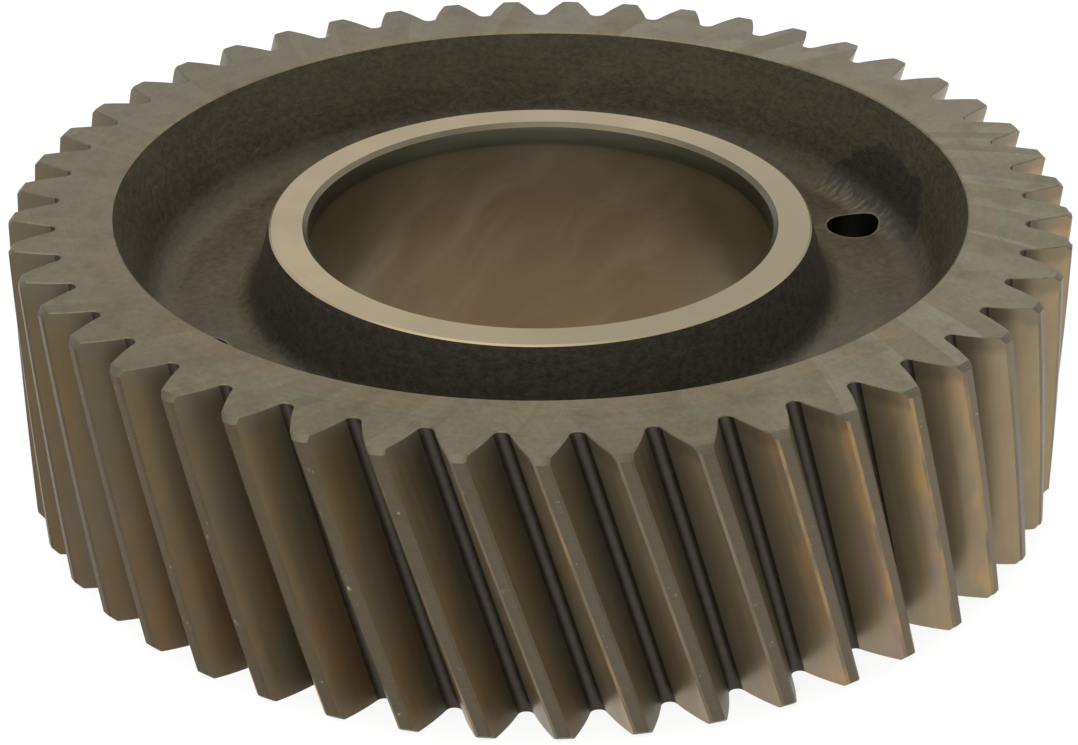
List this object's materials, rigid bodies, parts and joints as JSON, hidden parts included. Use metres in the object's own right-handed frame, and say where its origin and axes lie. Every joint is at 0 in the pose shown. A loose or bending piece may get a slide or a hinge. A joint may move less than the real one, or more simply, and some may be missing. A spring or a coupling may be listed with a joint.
{
  "type": "helical gear",
  "caption": "Wide steel helical gear with left-hand involute teeth, a web recessed on both sides and a plain bored hub that presses onto a shaft.",
  "frame": {"origin": "on the bore axis, midway between the two rim faces", "axes": "+Z along the bore axis, +X through the centre of a web hole"},
  "size_m": [0.2044, 0.2044, 0.0564],
  "materials": {
    "gear_steel": "satin ground steel, bronze-tinted flanks, dark forged recesses"
  },
  "bodies": {
    "root": {"helical_gear": "gear_steel"}
  },
  "joints": []
}
